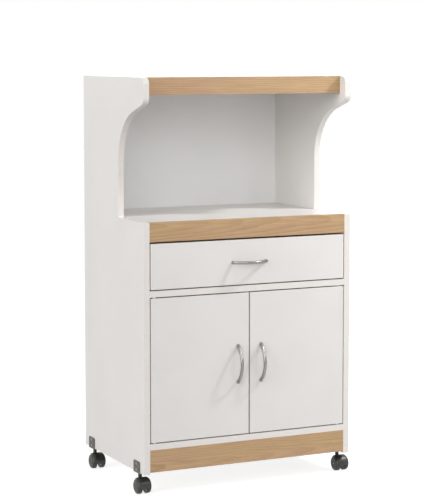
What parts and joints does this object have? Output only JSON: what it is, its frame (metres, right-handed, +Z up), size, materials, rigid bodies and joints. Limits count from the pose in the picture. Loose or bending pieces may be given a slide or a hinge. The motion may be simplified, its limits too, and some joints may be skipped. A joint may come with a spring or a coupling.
{
  "type": "microwave stand",
  "caption": "Rolling kitchen stand with an open microwave bay, a drawer on roller runners, a two-door cupboard with a loose shelf, and swivel casters.",
  "frame": {"origin": "on the floor, under the middle of the stand's bounding box", "axes": "+Z up, +Y towards the back (the doors and the drawer face -Y), +X to the right as seen from the front"},
  "size_m": [0.6234, 0.435, 1.069],
  "materials": {
    "white_board": "white melamine laminate, satin",
    "oak_board": "light oak-tone laminate, satin",
    "back_board": "white painted hardboard, matte",
    "white_plastic": "white moulded plastic",
    "coated_steel": "white epoxy coat",
    "chrome": "polished",
    "zinc_steel": "zinc plated, grey",
    "bright_steel": "bright",
    "black_nylon": "moulded nylon, satin"
  },
  "bodies": {
    "carcass": {"left_side_panel": "white_board", "right_side_panel": "white_board", "top_shelf": "white_board", "counter_board": "white_board", "divider_board": "white_board", "base_shelf": "white_board", "top_rail": "oak_board", "counter_rail": "oak_board", "base_rail": "oak_board", "upper_back_panel": "back_board", "lower_back_panel": "back_board", "back_joint_strip": "white_plastic", "loose_shelf": "white_board", "shelf_pegs": "bright_steel", "left_cabinet_runner": "coated_steel", "right_cabinet_runner": "coated_steel", "left_door_pivots": "bright_steel", "right_door_pivots": "bright_steel", "door_catch": "white_plastic", "caster_screws": "bright_steel", "front_left_caster_bracket": "zinc_steel", "front_right_caster_bracket": "zinc_steel", "rear_left_caster_bracket": "zinc_steel", "rear_right_caster_bracket": "zinc_steel"},
    "drawer": {"drawer_front": "white_board", "drawer_handle": "chrome", "drawer_left_side": "white_board", "drawer_right_side": "white_board", "drawer_back": "white_board", "drawer_bottom": "back_board", "left_drawer_runner": "coated_steel", "right_drawer_runner": "coated_steel"},
    "left_door": {"left_door": "white_board", "left_door_handle": "chrome", "left_strike_plate": "bright_steel"},
    "right_door": {"right_door": "white_board", "right_door_handle": "chrome", "right_strike_plate": "bright_steel"},
    "left_front_roller": {"left_front_roller": "white_plastic"},
    "left_rear_roller": {"left_rear_roller": "white_plastic"},
    "right_front_roller": {"right_front_roller": "white_plastic"},
    "right_rear_roller": {"right_rear_roller": "white_plastic"},
    "front_left_caster": {"front_left_caster_hood": "black_nylon", "front_left_caster_axle": "bright_steel"},
    "front_left_outer_wheel": {"front_left_outer_wheel": "black_nylon"},
    "front_left_inner_wheel": {"front_left_inner_wheel": "black_nylon"},
    "front_right_caster": {"front_right_caster_hood": "black_nylon", "front_right_caster_axle": "bright_steel"},
    "front_right_outer_wheel": {"front_right_outer_wheel": "black_nylon"},
    "front_right_inner_wheel": {"front_right_inner_wheel": "black_nylon"},
    "rear_left_caster": {"rear_left_caster_hood": "black_nylon", "rear_left_caster_axle": "bright_steel"},
    "rear_left_outer_wheel": {"rear_left_outer_wheel": "black_nylon"},
    "rear_left_inner_wheel": {"rear_left_inner_wheel": "black_nylon"},
    "rear_right_caster": {"rear_right_caster_hood": "black_nylon", "rear_right_caster_axle": "bright_steel"},
    "rear_right_outer_wheel": {"rear_right_outer_wheel": "black_nylon"},
    "rear_right_inner_wheel": {"rear_right_inner_wheel": "black_nylon"}
  },
  "joints": [
    {"name": "drawer_slide", "type": "slide", "parent": "carcass", "child": "drawer", "axis": [0, -1, 0], "range_m": [0, 0.26]},
    {"name": "left_door_swing", "type": "hinge", "parent": "carcass", "child": "left_door", "pos_m": [-0.269, -0.1805, 0.322], "axis": [0, 0, -1], "range_deg": [0, 110]},
    {"name": "right_door_swing", "type": "hinge", "parent": "carcass", "child": "right_door", "pos_m": [0.269, -0.1805, 0.322], "axis": [0, 0, 1], "range_deg": [0, 110]},
    {"name": "left_front_roller_spin", "type": "hinge", "parent": "carcass", "child": "left_front_roller", "pos_m": [-0.2781, -0.1565, 0.5452], "axis": [1, 0, 0], "range_deg": [0, 1569.1]},
    {"name": "left_rear_roller_spin", "type": "hinge", "parent": "drawer", "child": "left_rear_roller", "pos_m": [-0.27725, 0.1655, 0.54545], "axis": [1, 0, 0], "range_deg": [0, 1461.5]},
    {"name": "right_front_roller_spin", "type": "hinge", "parent": "carcass", "child": "right_front_roller", "pos_m": [0.2781, -0.1565, 0.5452], "axis": [1, 0, 0], "range_deg": [0, 1569.1]},
    {"name": "right_rear_roller_spin", "type": "hinge", "parent": "drawer", "child": "right_rear_roller", "pos_m": [0.27725, 0.1655, 0.54545], "axis": [1, 0, 0], "range_deg": [0, 1461.5]},
    {"name": "front_left_caster_swivel", "type": "hinge", "parent": "carcass", "child": "front_left_caster", "pos_m": [-0.292, -0.1405, 0.04], "axis": [0, 0, 1], "continuous": true},
    {"name": "front_left_outer_wheel_spin", "type": "hinge", "parent": "front_left_caster", "child": "front_left_outer_wheel", "pos_m": [-0.30512, -0.1555, 0.02], "axis": [1, 0, 0], "continuous": true},
    {"name": "front_left_inner_wheel_spin", "type": "hinge", "parent": "front_left_caster", "child": "front_left_inner_wheel", "pos_m": [-0.27887, -0.1555, 0.02], "axis": [1, 0, 0], "continuous": true},
    {"name": "front_right_caster_swivel", "type": "hinge", "parent": "carcass", "child": "front_right_caster", "pos_m": [0.292, -0.1405, 0.04], "axis": [0, 0, 1], "continuous": true},
    {"name": "front_right_outer_wheel_spin", "type": "hinge", "parent": "front_right_caster", "child": "front_right_outer_wheel", "pos_m": [0.30512, -0.1555, 0.02], "axis": [1, 0, 0], "continuous": true},
    {"name": "front_right_inner_wheel_spin", "type": "hinge", "parent": "front_right_caster", "child": "front_right_inner_wheel", "pos_m": [0.27887, -0.1555, 0.02], "axis": [1, 0, 0], "continuous": true},
    {"name": "rear_left_caster_swivel", "type": "hinge", "parent": "carcass", "child": "rear_left_caster", "pos_m": [-0.292, 0.1695, 0.04], "axis": [0, 0, 1], "continuous": true},
    {"name": "rear_left_outer_wheel_spin", "type": "hinge", "parent": "rear_left_caster", "child": "rear_left_outer_wheel", "pos_m": [-0.30512, 0.1545, 0.02], "axis": [1, 0, 0], "continuous": true},
    {"name": "rear_left_inner_wheel_spin", "type": "hinge", "parent": "rear_left_caster", "child": "rear_left_inner_wheel", "pos_m": [-0.27887, 0.1545, 0.02], "axis": [1, 0, 0], "continuous": true},
    {"name": "rear_right_caster_swivel", "type": "hinge", "parent": "carcass", "child": "rear_right_caster", "pos_m": [0.292, 0.1695, 0.04], "axis": [0, 0, 1], "continuous": true},
    {"name": "rear_right_outer_wheel_spin", "type": "hinge", "parent": "rear_right_caster", "child": "rear_right_outer_wheel", "pos_m": [0.30512, 0.1545, 0.02], "axis": [1, 0, 0], "continuous": true},
    {"name": "rear_right_inner_wheel_spin", "type": "hinge", "parent": "rear_right_caster", "child": "rear_right_inner_wheel", "pos_m": [0.27887, 0.1545, 0.02], "axis": [1, 0, 0], "continuous": true}
  ],
  "couplings": [
    {"joint": "left_front_roller_spin", "follows": "drawer_slide", "rad_per_m": 105.26},
    {"joint": "left_rear_roller_spin", "follows": "drawer_slide", "rad_per_m": 98.039},
    {"joint": "right_front_roller_spin", "follows": "drawer_slide", "rad_per_m": 105.26},
    {"joint": "right_rear_roller_spin", "follows": "drawer_slide", "rad_per_m": 98.039}
  ]
}
